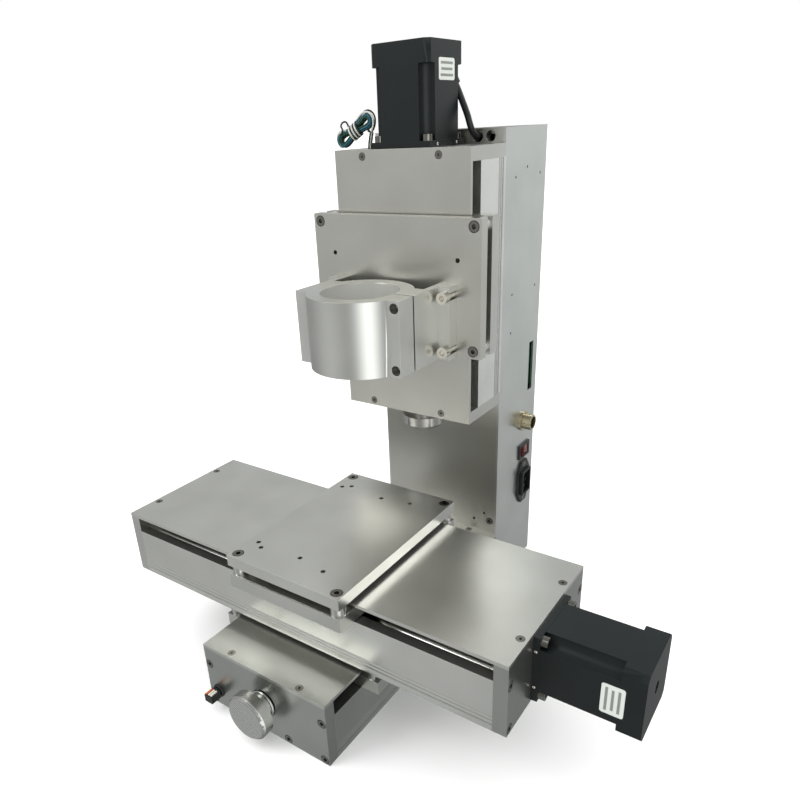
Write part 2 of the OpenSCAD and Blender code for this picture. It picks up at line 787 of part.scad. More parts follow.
// The power switch: a bezel with a cavity, and the rocker on its pin
module switch_bezel() {
    color(black) difference() {
        union() {
            translate([panel_x, switch_y - 12, switch_z - 8]) cube([2, 24, 16]);
            translate([panel_x - 16, switch_y - 9.3, switch_z - 6.3]) cube([16.1, 18.6, 12.6]);
        }
        translate([rocker_pin_x - 3, switch_y - 8.9, switch_z - 5.3]) cube([10, 17.8, 10.6]);
        translate([rocker_pin_x, switch_y, switch_z - 6.1]) cylinder(h = 12.2, r = 1 + fit);
    }
}

module switch_rocker() {
    color([0.45, 0.05, 0.05]) translate([rocker_pin_x, switch_y, switch_z]) rotate([0, 0, rocker_tilt]) {
        translate([0, 0, -5]) linear_extrude(10)
            polygon([[-1, -7], [0, -7.8], [5.4, -7.8], [3.6, 0], [5.4, 7.8], [0, 7.8], [-1, 7]]);
        translate([0, 0, -6]) cylinder(h = 12, r = 1);
    }
}

module power_inlet() {
    color(black) translate([panel_x, inlet_y, inlet_z]) rotate([90, 0, 90]) {
        difference() {
            union() {
                linear_extrude(2.5)
                    polygon([for (p = [[14, 13], [6, 25], [-6, 25], [-14, 13], [-14, -13], [-6, -25], [6, -25], [14, -13]]) p]);
                translate([-10, -14, -18]) cube([20, 28, 24]);
            }
            translate([-8, -12, -10]) cube([16, 24, 20]);
            for (z = [-1, 1]) translate([0, z * inlet_screw, 2.5]) flat_screw_hole(m3_flat, 10);
        }
        for (p = [[1, -7], [1, 7], [3.5, 0]]) translate([p[0] - 1, p[1] - 2, -10.1]) cube([2, 4, 13]);
    }
}

// ---------- Fasteners of the frame ----------

module frame_screws() {
    color(steel) {
        at_base() end_plate_screws(base_len);
        at_base() cover_screws(base_len);
        at_upright() end_plate_screws(upright_len);
        at_upright() cover_screws(upright_len);
        at_upright() translate([upright_len / 2, 0, screw_z]) motor_screws(end_t - 5);
        at_base() translate([base_len / 2 + front_t, 0, screw_z]) motor_screws(front_t - 5);
        for (p = front_screws)
            translate([p[0], column_y + m4[2], p[1]]) rotate([90, 0, 0]) cap_screw(m4, front_t - m4[2]);
        for (z = [-1, 1])
            translate([panel_x + 2.5, inlet_y, inlet_z + z * inlet_screw]) rotate([0, 90, 0]) flat_screw(m3_flat, 8);
    }
}

// ---------- Leads ----------

function unit(v) = v / norm(v);
function tangent(pts, i) = unit(pts[min(i + 1, len(pts) - 1)] - pts[max(i - 1, 0)]);
function side_of(t, n) = unit(n - (n * t) * t);
function sides(pts, i) = i == 0
    ? side_of(tangent(pts, 0), [0.3, 0.2, 1])
    : side_of(tangent(pts, i), sides(pts, i - 1));

// A round tube swept along the points, with flat ends
module tube(pts, d, n) {
    rings = [for (i = [0:len(pts) - 1])
        let (t = tangent(pts, i), u = sides(pts, i), v = cross(t, u))
        for (k = [0:n - 1]) pts[i] + d / 2 * (cos(360 * k / n) * u + sin(360 * k / n) * v)];
    walls = [for (i = [0:len(pts) - 2], k = [0:n - 1])
        [i * n + k, (i + 1) * n + k, (i + 1) * n + (k + 1) % n, i * n + (k + 1) % n]];
    ends = [[for (k = [0:n - 1]) k], [for (k = [n - 1:-1:0]) (len(pts) - 1) * n + k]];
    polyhedron(points = rings, faces = concat(walls, ends), convexity = 6);
}

module upright_motor_lead() { color(black) tube(motor_lead, motor_lead_d, 12); }
module sensor_lead() { color(black) tube(hank_lead, wire_d, 8); }

module sensor_hank() {
    color(black) hull() for (p = hank_ends) translate(p) sphere(r = hank_r, $fn = 24);
}

base_channel();
base_front_plate();
base_rear_plate();
base_cover();
base_guide_rods();
frame_bearings();
base_motor();
front_plug();
base_lead_screw();
base_coupler();
base_motor_shaft();
base_knob();
saddle_carriage();
saddle_nut();
saddle_plate();
cross_channel();
cross_left_plate();
cross_right_plate();
cross_cover();
cross_guide_rods();
cross_bearing();
cross_motor();
cross_screws();
cross_lead_screw();
cross_coupler();
cross_motor_shaft();
table_carriage();
table_nut();
table_plate();
table_screws();
upright_channel();
upright_bottom_plate();
upright_top_plate();
upright_cover();
upright_guide_rods();
upright_motor();
upright_lead_screw();
upright_coupler();
upright_motor_shaft();
upright_knob();
head_carriage();
head_nut();
head_plate();
head_screws();
spindle_clamp();
clamp_screws();
clamp_mount_screws();
column_front_plate();
column_housing();
column_lid();
power_supply();
controller_board();
signal_socket();
switch_bezel();
switch_rocker();
power_inlet();
frame_screws();
upright_motor_lead();
sensor_lead();
sensor_hank();
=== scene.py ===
# %% [markdown]
# # Finishing a benchtop CNC router
# The CAD model gives every plate, rail and screw its exact shape. This lesson turns it into a
# picture: each metal gets the surface its making left on it, sharp edges get the small bevel
# that catches the light, and the soft parts (wires and cable) are drawn as real cords.
# Everything is in metres, with X to the right, Y to the back and Z up.

# %% Load the frame
import json
import math

import bmesh
import bpy
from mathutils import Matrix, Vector

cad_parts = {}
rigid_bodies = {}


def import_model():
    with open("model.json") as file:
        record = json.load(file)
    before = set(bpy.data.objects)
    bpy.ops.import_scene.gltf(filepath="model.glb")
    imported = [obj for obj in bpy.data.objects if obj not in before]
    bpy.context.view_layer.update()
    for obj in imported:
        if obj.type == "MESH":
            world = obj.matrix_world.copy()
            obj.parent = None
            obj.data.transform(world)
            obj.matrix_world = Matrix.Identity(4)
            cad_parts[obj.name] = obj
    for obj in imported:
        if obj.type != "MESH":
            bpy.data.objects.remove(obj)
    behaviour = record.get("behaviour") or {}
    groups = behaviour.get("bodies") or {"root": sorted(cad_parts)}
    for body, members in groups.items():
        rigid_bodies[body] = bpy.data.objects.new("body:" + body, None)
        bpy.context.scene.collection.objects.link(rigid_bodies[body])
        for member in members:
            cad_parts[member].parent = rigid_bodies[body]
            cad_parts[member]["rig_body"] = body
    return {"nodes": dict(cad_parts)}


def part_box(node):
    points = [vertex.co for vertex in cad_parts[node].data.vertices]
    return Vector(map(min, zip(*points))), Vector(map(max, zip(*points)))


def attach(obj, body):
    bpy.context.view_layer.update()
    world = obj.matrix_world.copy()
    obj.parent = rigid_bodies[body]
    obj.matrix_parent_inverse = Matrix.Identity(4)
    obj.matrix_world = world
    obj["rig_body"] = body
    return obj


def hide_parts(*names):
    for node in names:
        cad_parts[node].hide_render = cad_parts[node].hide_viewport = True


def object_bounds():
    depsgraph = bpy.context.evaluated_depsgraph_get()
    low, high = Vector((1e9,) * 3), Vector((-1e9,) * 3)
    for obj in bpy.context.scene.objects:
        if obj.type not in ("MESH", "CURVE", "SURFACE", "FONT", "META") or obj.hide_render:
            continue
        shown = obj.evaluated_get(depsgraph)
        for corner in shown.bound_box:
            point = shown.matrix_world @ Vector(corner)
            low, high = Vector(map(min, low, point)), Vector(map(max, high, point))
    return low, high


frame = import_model()
nodes = frame["nodes"]
cad_low, cad_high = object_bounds()
print("CAD box", [round(v, 4) for v in cad_low], [round(v, 4) for v in cad_high])

# %% [markdown]
# ## The camera
# The camera stands close to the machine, right of its front, and looks down on it. A short
# lens this near gives the strong perspective of a hand-held picture. It is turned a little
# about its own axis, and a small shift frames the machine without tilting it further.

# %% Place the camera
camera_data = bpy.data.cameras.new("camera")
camera_data.sensor_width = 36
camera_data.lens = 31.56
camera_data.shift_x = 0.0336
camera_data.shift_y = 0.0543
camera_data.clip_start = 0.01
camera = bpy.data.objects.new("camera", camera_data)
camera.location = (0.3480, -0.4601, 0.4619)
camera.rotation_euler = [math.radians(a) for a in (65.749, 2.797, 35.427)]
bpy.context.scene.collection.objects.link(camera)
bpy.context.scene.camera = camera
print("camera is", round((camera.location - (cad_low + cad_high) / 2).length, 3), "m away")

# %% [markdown]
# ## Two small helpers for materials
# Paint charts and screens name colours in sRGB, but a renderer adds light, so it wants linear
# values. One function turns a hex code into those. A second adds a node to a material, sets
# its properties and joins its inputs, so that a whole finish reads as a short list.

# %% Colour and node helpers
def linear(code):
    """An sRGB hex code such as 'A8A69E' as a linear RGBA colour."""
    parts = [int(code[i : i + 2], 16) / 255 for i in (0, 2, 4)]
    return [p / 12.92 if p <= 0.04045 else ((p + 0.055) / 1.055) ** 2.4 for p in parts] + [1.0]


def add(tree, kind, inputs=(), **settings):
    """Adds a node. inputs gives sockets a value or another node's output."""
    made = tree.nodes.new(kind)
    for name, value in settings.items():
        setattr(made, name, value)
    for socket, value in dict(inputs).items():
        if isinstance(value, bpy.types.NodeSocket):
            tree.links.new(value, made.inputs[socket])
        else:
            made.inputs[socket].default_value = value
    return made


def new_material(name):
    """An empty material with its output node, and its node tree."""
    made = bpy.data.materials.new(name)
    made.use_nodes = True
    made.node_tree.nodes.clear()
    return made, made.node_tree


print("mid grey", [round(v, 3) for v in linear("808080")])

# %% [markdown]
# ## Anodised aluminium
# Nearly all of the machine is aluminium with a clear anodised skin. Three kinds of making
# show in it. Milled plates are blasted with fine beads first, which leaves an even satin.
# Covers and sheet are brushed, which leaves hair-fine lines one way. Extrusions carry faint
# die lines along their length. All three are one metal, so one function makes them: the
# grain is noise, squeezed along the lines' direction, that moves the roughness and the
# bump. A second, wide noise gives the slow clouds that every anodised sheet has.
# The oxide skin scatters a little light of its own, so the metal is not quite pure. The wall
# of the clamp's bore is left dull from blasting, and scatters much more.
# Real blasting grit and brush lines are about 0.1 mm across, too fine to show, so they are
# drawn at 0.35 and 0.3 mm, and the die lines at 0.5 mm.

# %% Make the aluminium finishes
MM = 0.001
GRIT, HAIR, DIE_LINE = 0.35 * MM, 0.3 * MM, 0.5 * MM
CLOUD = 45 * MM
SKIN_METAL, BORE_METAL = 0.95, 0.6
BORE_DULLER = 0.3
BORE_REACH = 32.6 * MM  # just past the wall of the 65 mm bore, whose axis is the frame's Z


def aluminium(name, pale, deep, roughness, grain, stretch=(1, 1, 1), bored=False):
    """Anodised aluminium. grain is in metres across; stretch is how long it is each way.

    bored leaves the wall of the spindle's bore dull."""
    made, tree = new_material(name)
    place = add(tree, "ShaderNodeTexCoord").outputs["Object"]
    squeezed = add(
        tree,
        "ShaderNodeMapping",
        {"Vector": place, "Scale": [1 / (grain * s) for s in stretch]},
    ).outputs["Vector"]
    fine = add(
        tree, "ShaderNodeTexNoise", {"Vector": squeezed, "Scale": 1.0, "Detail": 3.0}
    ).outputs["Fac"]
    clouds = add(
        tree,
        "ShaderNodeTexNoise",
        {"Vector": place, "Scale": 1 / CLOUD, "Detail": 2.0, "Roughness": 0.4},
    ).outputs["Fac"]
    tone = add(
        tree,
        "ShaderNodeMapRange",
        {"Value": clouds, "From Min": 0.3, "From Max": 0.7, "To Min": 0.2, "To Max": 0.8},
    ).outputs["Result"]
    hair = add(
        tree,
        "ShaderNodeMapRange",
        {"Value": fine, "From Min": 0.3, "From Max": 0.7, "To Min": -0.01, "To Max": 0.01},
    ).outputs["Result"]
    share = add(tree, "ShaderNodeMath", {0: tone, 1: hair}, operation="ADD").outputs[0]
    colour = add(
        tree,
        "ShaderNodeMix",
        {0: share, 6: linear(deep), 7: linear(pale)},
        data_type="RGBA",
    ).outputs[2]
    rough = add(
        tree,
        "ShaderNodeMapRange",
        {
            "Value": fine,
            "From Min": 0.3,
            "From Max": 0.7,
            "To Min": roughness - 0.004,
            "To Max": roughness + 0.004,
        },
    ).outputs["Result"]
    bump = add(
        tree, "ShaderNodeBump", {"Height": fine, "Strength": 0.0015, "Distance": grain * 0.3}
    ).outputs["Normal"]
    shader = add(
        tree,
        "ShaderNodeBsdfPrincipled",
        {"Base Color": colour, "Metallic": SKIN_METAL, "Roughness": rough, "Normal": bump},
    )
    if bored:
        flat = add(tree, "ShaderNodeVectorMath", {0: place, 1: (1, 1, 0)}, operation="MULTIPLY")
        out = add(
            tree, "ShaderNodeVectorMath", {0: flat.outputs[0]}, operation="LENGTH"
        ).outputs["Value"]
        inside = add(
            tree, "ShaderNodeMath", {0: out, 1: BORE_REACH}, operation="LESS_THAN"
        ).outputs[0]
        metal = add(
            tree,
            "ShaderNodeMapRange",
            {"Value": inside, "To Min": SKIN_METAL, "To Max": BORE_METAL},
        ).outputs["Result"]
        tree.links.new(metal, shader.inputs["Metallic"])
        duller = add(
            tree, "ShaderNodeMath", {0: inside, 1: BORE_DULLER}, operation="MULTIPLY"
        ).outputs[0]
        dull = add(tree, "ShaderNodeMath", {0: rough, 1: duller}, operation="ADD").outputs[0]
        tree.links.new(dull, shader.inputs["Roughness"])
    add(tree, "ShaderNodeOutputMaterial", {"Surface": shader.outputs[0]})
    return made


blasted_aluminium = aluminium("anodised_aluminium_blasted", "C6C6C1", "B6B6B0", 0.3, GRIT)
# This copy is the blasted satin in a darker colour, which is painted shade for plates that face
# away from the light.
painted_shade_aluminium = aluminium("anodised_aluminium_painted_shade", "AAACA8", "9A9C97", 0.3, GRIT)
clamp_aluminium = aluminium(
    "anodised_aluminium_bored", "D2D2CD", "C2C2BC", 0.31, GRIT, bored=True
)
brushed_along_x = aluminium(
    "anodised_aluminium_brushed_along_x", "D0D0CB", "C0C0BA", 0.3, HAIR, (300, 1, 300)
)
brushed_along_y = aluminium(
    "anodised_aluminium_brushed_along_y", "C4C5C0", "B6B7B1", 0.36, HAIR, (1, 300, 300)
)
brushed_along_z = aluminium(
    "anodised_aluminium_brushed_along_z", "C6C5BE", "B9B8B0", 0.33, HAIR, (1, 300, 300)
)
extruded_along_x = aluminium(
    "anodised_extrusion_along_x", "D0D0CB", "C2C2BC", 0.26, DIE_LINE, (90, 1, 1)
)
# The extrusion along Y is the same finish in a darker colour, which is painted shade.
painted_shade_extrusion_along_y = aluminium(
    "anodised_extrusion_along_y_painted_shade", "B4B6B1", "A2A49F", 0.24, DIE_LINE, (1, 90, 1)
)
# The extrusion along Z is the same finish in a paler colour, which is painted light.
painted_light_extrusion_along_z = aluminium(
    "anodised_extrusion_along_z_painted_light", "E2E2DE", "D2D2CD", 0.24, DIE_LINE, (1, 1, 90)
)
column_sheet = aluminium(
    "anodised_aluminium_sheet", "CBCECA", "BDC0BC", 0.28, HAIR, (1, 1, 300)
)
print(len(bpy.data.materials), "materials so far")

# %% [markdown]
# ## Turned aluminium and steel
# The knobs are turned on a lathe: the tool leaves rings round the axis, which show as a fan
# of light. The rings are a wave texture about the knob's own axis. Real tool rings are about
# 0.2 mm apart, too fine to show, so they are drawn 1.2 mm apart. Ground rods, screws and
# bearings are bare or plated steel, so they are much shinier than anodised parts.

# %% Make turned metal, steel and nickel
TOOL_RING = 1.2 * MM


def middle_of(node):
    """The middle of a CAD node's box."""
    low, high = [Vector(corner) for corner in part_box(node)]
    return (low + high) / 2


def wave_scale(pitch):
    """The Scale that gives a wave texture this pitch in metres."""
    return 2 * math.pi / (20 * pitch)


def turned(name, centre, axis, colour, roughness):
    """Metal turned about an axis ('X', 'Y' or 'Z') through centre, with rings from the tool."""
    made, tree = new_material(name)
    place = add(tree, "ShaderNodeTexCoord").outputs["Object"]
    centred = add(
        tree,
        "ShaderNodeMapping",
        {"Vector": place, "Location": [-c for c in centre]},
    ).outputs["Vector"]
    rings = add(
        tree,
        "ShaderNodeTexWave",
        {"Vector": centred, "Scale": wave_scale(TOOL_RING), "Distortion": 0.3},
        wave_type="RINGS",
        rings_direction=axis,
    ).outputs["Fac"]
    rough = add(
        tree,
        "ShaderNodeMapRange",
        {"Value": rings, "To Min": roughness - 0.02, "To Max": roughness + 0.03},
    ).outputs["Result"]
    bump = add(
        tree, "ShaderNodeBump", {"Height": rings, "Strength": 0.05, "Distance": 0.03 * MM}
    ).outputs["Normal"]
    shader = add(
        tree,
        "ShaderNodeBsdfPrincipled",
        {
            "Base Color": linear(colour),
            "Metallic": 1.0,
            "Roughness": rough,
            "Anisotropic": 0.4,
            "Normal": bump,
        },
    )
    add(tree, "ShaderNodeOutputMaterial", {"Surface": shader.outputs[0]})
    return made


def plain_metal(name, pale, deep, roughness, patch):
    """Bare or plated metal whose tone and shine drift a little over patches of that size."""
    made, tree = new_material(name)
    place = add(tree, "ShaderNodeTexCoord").outputs["Object"]
    drift = add(
        tree, "ShaderNodeTexNoise", {"Vector": place, "Scale": 1 / patch, "Detail": 4.0}
    ).outputs["Fac"]
    colour = add(
        tree,
        "ShaderNodeMix",
        {0: drift, 6: linear(deep), 7: linear(pale)},
        data_type="RGBA",
    ).outputs[2]
    rough = add(
        tree,
        "ShaderNodeMapRange",
        {"Value": drift, "To Min": roughness - 0.05, "To Max": roughness + 0.08},
    ).outputs["Result"]
    bump = add(
        tree, "ShaderNodeBump", {"Height": drift, "Strength": 0.05, "Distance": 0.05 * MM}
    ).outputs["Normal"]
    shader = add(
        tree,
        "ShaderNodeBsdfPrincipled",
        {"Base Color": colour, "Metallic": 1.0, "Roughness": rough, "Normal": bump},
    )
    add(tree, "ShaderNodeOutputMaterial", {"Surface": shader.outputs[0]})
    return made


base_knob_middle, upright_knob_middle = middle_of("base_knob"), middle_of("upright_knob")
turned_about_y = turned("turned_aluminium_about_y", base_knob_middle, "Y", "C2C2BD", 0.25)
turned_about_z = turned("turned_aluminium_about_z", upright_knob_middle, "Z", "CFCECA", 0.2)
ground_steel = plain_metal("ground_steel", "D2D2D0", "BEBEBC", 0.14, 6 * MM)
socket_screw = plain_metal("zinc_plated_socket_screw", "8A8882", "6A6862", 0.22, 2 * MM)
chrome_screw = plain_metal("chrome_plated_screw", "E2DFD6", "CFCBC0", 0.12, 2 * MM)
bronze = plain_metal("machined_bronze", "B8935A", "96733F", 0.3, 4 * MM)
nickel_socket = plain_metal("nickel_plated_brass", "CFC8B2", "AC9F7E", 0.22, 3 * MM)
zinc_sheet = plain_metal("zinc_plated_sheet", "B4B7B9", "9A9DA0", 0.4, 8 * MM)
print(len(bpy.data.materials), "materials so far")

# %% [markdown]
# ## The thread of the lead screws
# A rolled lead screw has a round-bottomed groove every 5 mm of its length. It is seen only
# through the slots beside the covers, so the groove is a bump, and a darker band in the steel
# paints the shade in it. Bands across the screw look like its thread from any side.

# %% Make threaded steel
THREAD_PITCH = 5 * MM


def threaded(name, axis):
    """Rolled steel with a thread's grooves across an axis ('X', 'Y' or 'Z')."""
    made, tree = new_material(name)
    place = add(tree, "ShaderNodeTexCoord").outputs["Object"]
    groove = add(
        tree,
        "ShaderNodeTexWave",
        {"Vector": place, "Scale": wave_scale(THREAD_PITCH)},
        wave_type="BANDS",
        bands_direction=axis,
    ).outputs["Fac"]
    # The darker band in the groove is painted shade.
    colour = add(
        tree,
        "ShaderNodeMix",
        {0: groove, 6: linear("6E6C66"), 7: linear("BDBCB8")},
        data_type="RGBA",
    ).outputs[2]
    rough = add(
        tree, "ShaderNodeMapRange", {"Value": groove, "To Min": 0.34, "To Max": 0.18}
    ).outputs["Result"]
    bump = add(
        tree, "ShaderNodeBump", {"Height": groove, "Strength": 0.8, "Distance": 0.8 * MM}
    ).outputs["Normal"]
    shader = add(
        tree,
        "ShaderNodeBsdfPrincipled",
        {"Base Color": colour, "Metallic": 1.0, "Roughness": rough, "Normal": bump},
    )
    add(tree, "ShaderNodeOutputMaterial", {"Surface": shader.outputs[0]})
    return made


thread_along_x = threaded("rolled_thread_along_x", "X")
thread_along_y = threaded("rolled_thread_along_y", "Y")
thread_along_z = threaded("rolled_thread_along_z", "Z")
print("thread pitch", round(THREAD_PITCH * 1000, 1), "mm")

# %% [markdown]
# ## Black finishes, plastics and the board
# The motors are painted satin black over cast and pressed metal: a dielectric film with a
# fine orange-peel. Switch and inlet are moulded plastic with a spark-eroded texture, and the
# rocker is a clear-ish red moulding. Cable and wires are soft PVC, which is duller.

# %% Make paint, plastic and PVC
def moulded(name, pale, deep, roughness, grain, relief=0.1, coat=0.0, mirror=0.5):
    """Paint or plastic with a stippled surface of that grain in metres.

    coat is a clear layer over it, and mirror is how much of the surroundings it shows."""
    made, tree = new_material(name)
    place = add(tree, "ShaderNodeTexCoord").outputs["Object"]
    stipple = add(
        tree, "ShaderNodeTexNoise", {"Vector": place, "Scale": 1 / grain, "Detail": 2.0}
    ).outputs["Fac"]
    drift = add(
        tree, "ShaderNodeTexNoise", {"Vector": place, "Scale": 1 / (30 * MM), "Detail": 2.0}
    ).outputs["Fac"]
    colour = add(
        tree,
        "ShaderNodeMix",
        {0: drift, 6: linear(deep), 7: linear(pale)},
        data_type="RGBA",
    ).outputs[2]
    rough = add(
        tree,
        "ShaderNodeMapRange",
        {"Value": stipple, "To Min": roughness - 0.06, "To Max": roughness + 0.06},
    ).outputs["Result"]
    bump = add(
        tree, "ShaderNodeBump", {"Height": stipple, "Strength": relief, "Distance": grain * 0.2}
    ).outputs["Normal"]
    shader = add(
        tree,
        "ShaderNodeBsdfPrincipled",
        {
            "Base Color": colour,
            "Roughness": rough,
            "IOR": 1.5,
            "Specular IOR Level": mirror,
            "Coat Weight": coat,
            "Coat Roughness": 0.25,
            "Normal": bump,
        },
    )
    add(tree, "ShaderNodeOutputMaterial", {"Surface": shader.outputs[0]})
    return made


black_paint = moulded("satin_black_paint", "101616", "0C1111", 0.38, 0.5 * MM, 0.05, mirror=0.32)
black_abs = moulded("moulded_black_abs", "141516", "0D0E0F", 0.45, 0.4 * MM, 0.15)
red_abs = moulded("moulded_red_abs", "5E1414", "430C0D", 0.25, 0.8 * MM, 0.03, 0.4)
black_pvc = moulded("black_pvc_cable", "151718", "0E1011", 0.48, 0.6 * MM)
wire_black = moulded("black_pvc_wire", "1D201F", "151716", 0.42, 0.5 * MM)
wire_white = moulded("white_pvc_wire", "C3C6BE", "B2B5AC", 0.42, 0.5 * MM)
wire_green = moulded("green_pvc_wire", "14402A", "0E301F", 0.42, 0.5 * MM)
wire_teal = moulded("teal_pvc_wire", "1F5C6B", "184A58", 0.42, 0.5 * MM)
green_lacquer = moulded("solder_mask_green", "1B5B38", "13482B", 0.3, 1.2 * MM, 0.2)
orange_abs = moulded("moulded_orange_abs", "C4622A", "A84E1E", 0.4, 0.5 * MM)
ivory_abs = moulded("moulded_ivory_abs", "D6D2C4", "C6C2B3", 0.42, 0.5 * MM)
label_foil = moulded("matt_label_foil", "C7CAC4", "BCBFB9", 0.5, 0.7 * MM, 0.04)
label_ink = moulded("grey_label_ink", "7B7F7A", "6E726D", 0.55, 0.7 * MM, 0.04)
print(len(bpy.data.materials), "materials in all")

# %% [markdown]
# ## The cords
# Two kinds of flexible thing leave the machine. The upright motor's lead is a 5.4 mm
# cable that leaves a boss in the motor's rear corner, slants down and bends into a hole in
# the column's front plate. The four thin sensor wires come up through the top plate and are
# put away as a hank that leans on the motor: two of them are wound three times round its
# middle.
# A cord is one open curve with a round bevel, so its length is exactly that of its line.

# %% A helper that draws a cord, and the motor's lead
MOTOR_LEAD_MM = [
    (22.9, 118.6, 492.2), (25.3, 118.6, 487.6), (27.7, 118.2, 483), (30.1, 117.6, 478.5),
    (32.6, 116.8, 474.1), (34.9, 115.9, 470), (36.9, 115, 466.4), (38.4, 114.3, 462.8),
    (39.4, 115.1, 458.7), (40.1, 117.2, 455), (40.6, 120.6, 452.2), (40.9, 124.6, 450.8),
    (40.9, 129, 450.6), (40.9, 135, 450.6),
]  # fmt: skip
LEAD_WIDE = 5.4 * MM


def length_of(points):
    """The length of the line through the points."""
    return sum((b - a).length for a, b in zip(points, points[1:]))


def draw_cord(name, points, diameter, material):
    """A round cord along the points, as one open NURBS curve, smoothed between them."""
    data = bpy.data.curves.new(name, "CURVE")
    data.dimensions = "3D"
    data.bevel_depth = diameter / 2
    data.bevel_resolution = 3
    data.resolution_u = 4
    data.use_fill_caps = True
    line = data.splines.new("NURBS")
    line.points.add(len(points) - 1)
    for place, point in zip(line.points, points):
        place.co = (*point, 1)
    line.order_u = 3
    line.use_endpoint_u = True
    made = bpy.data.objects.new(name, data)
    bpy.context.scene.collection.objects.link(made)
    data.materials.append(material)
    return made


lead_points = [Vector(p) * MM for p in MOTOR_LEAD_MM]
motor_lead = draw_cord("motor_lead_cable", lead_points, LEAD_WIDE, black_pvc)
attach(motor_lead, "frame")
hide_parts("upright_motor_lead")
print("motor lead", round(length_of(lead_points), 3), "m")

# %% [markdown]
# ## The hank of sensor wires
# It is easiest to think in the hank's own directions: along it, across it as the camera
# sees it, and towards the camera. A turn runs up one side, round the top, down the other
# side and round the bottom. Turns lie in rows, one wire apart, and spread at both ends.
# Every wire is a list of such turns, and the black and the white one also go three times
# round the middle. The drawn curve cuts each bend a little, so a wire's drawn length is
# slightly less than that of the line through its points, which is the length printed.

# %% The hank's directions and its turns
WIRE = 1.5 * MM
hank_low, hank_high = Vector((-64, 77, 453.5)) * MM, Vector((-44, 82, 467)) * MM
hank_mid = (hank_low + hank_high) / 2
along = (hank_high - hank_low).normalized()
sight = Vector((-0.563, 0.731, -0.41))
across = sight.cross(along).normalized()
toward = along.cross(across).normalized()
if toward.dot(sight) > 0:
    toward = -toward
TOP, BOTTOM = 12.6 * MM, -13.8 * MM


def in_hank(s, a, b):
    """The place s along, a across and b towards the viewer from the hank's middle, in metres."""
    return hank_mid + along * s + across * a + toward * b


def turn(half, row, next_half=None, next_row=None):
    """One turn that starts at the bottom of the right side. All in metres."""
    next_half = half if next_half is None else next_half
    next_row = row if next_row is None else next_row
    points = []

    def side(sign, steps, width, layer):
        for s in steps:
            spread = min(1.0, abs(s) / (12 * MM)) ** 1.5
            points.append(
                in_hank(s, sign * (width + 2.5 * MM * spread), layer * (1 + 0.18 * spread))
            )

    side(1, [x * MM for x in (-11.5, -8, -4, 0, 4, 7.5, 10.5)], half, row)
    for degrees in (15, 45, 75, 105, 135, 165):
        t = math.radians(degrees)
        reach = half + 2.4 * MM
        points.append(
            in_hank(TOP + reach * math.sin(t) * 0.95, reach * math.cos(t), row * 1.18)
        )
    side(-1, [x * MM for x in (10.5, 7.5, 4, 0, -4, -8, -11.5)], half, row)
    for degrees in (15, 45, 75, 105, 135, 165):
        t = math.radians(degrees)
        share = degrees / 180
        reach = half + (next_half - half) * share + 2.5 * MM
        layer = row + (next_row - row) * share
        points.append(
            in_hank(BOTTOM - reach * math.sin(t) * 0.9, -reach * math.cos(t), layer * 1.18)
        )
    return points


def turns(places):
    """Several turns in a row. places are (half width, row) in millimetres."""
    points = []
    for i, (half, row) in enumerate(places):
        nxt = places[min(i + 1, len(places) - 1)]
        points += turn(half * MM, row * MM, nxt[0] * MM, nxt[1] * MM)
    half, row = places[-1]
    points += [in_hank(s * MM, half * MM, row * MM) for s in (-11, -8, -5, -1, 2)]
    return points


print("hank", round((hank_high - hank_low).length * 1000, 1), "mm between its end centres")

# %% The four wires
WOUND, WOUND_R = 3, 5.95 * MM
WOUND_FROM, WOUND_TO = 4.2 * MM, -5.0 * MM


def rise(dx, dy):
    """The wire's way up through the top plate and free above it, offset in millimetres."""
    route = [(-44, 85, 439), (-44, 85, 446), (-43.4, 84.8, 450), (-42, 84.4, 454.5),
             (-40.6, 84, 458.5)]  # fmt: skip
    return [Vector((x + dx, y + dy, z)) * MM for x, y, z in route]


def wound_round(shift):
    """A helix round the hank's middle that starts and ends on its left edge."""
    points, steps = [], 14 * WOUND
    for i in range(steps + 1):
        t = math.pi - 2 * math.pi * WOUND * i / steps
        s = WOUND_FROM + (WOUND_TO - WOUND_FROM) * i / steps + shift
        points.append(in_hank(s, WOUND_R * math.cos(t), WOUND_R * math.sin(t)))
    return points


def arch(shift, lift):
    """From the wire's rise, over the hank's upper end and down to its left edge."""
    route = [(12, 10.5, 1), (15.5, 8.6, 1.4), (18.5, 5.4, 1.8), (19.9, 1.8, 2),
             (19.6, -2, 2), (17.6, -5.4, 1.8), (14, -7.2, 1.4), (10, -7.2, 0.8),
             (6.5, -6.4, 0.4)]  # fmt: skip
    return [
        in_hank((s + lift) * MM, (a - 0.3 * lift) * MM, (b + shift) * MM) for s, a, b in route
    ]


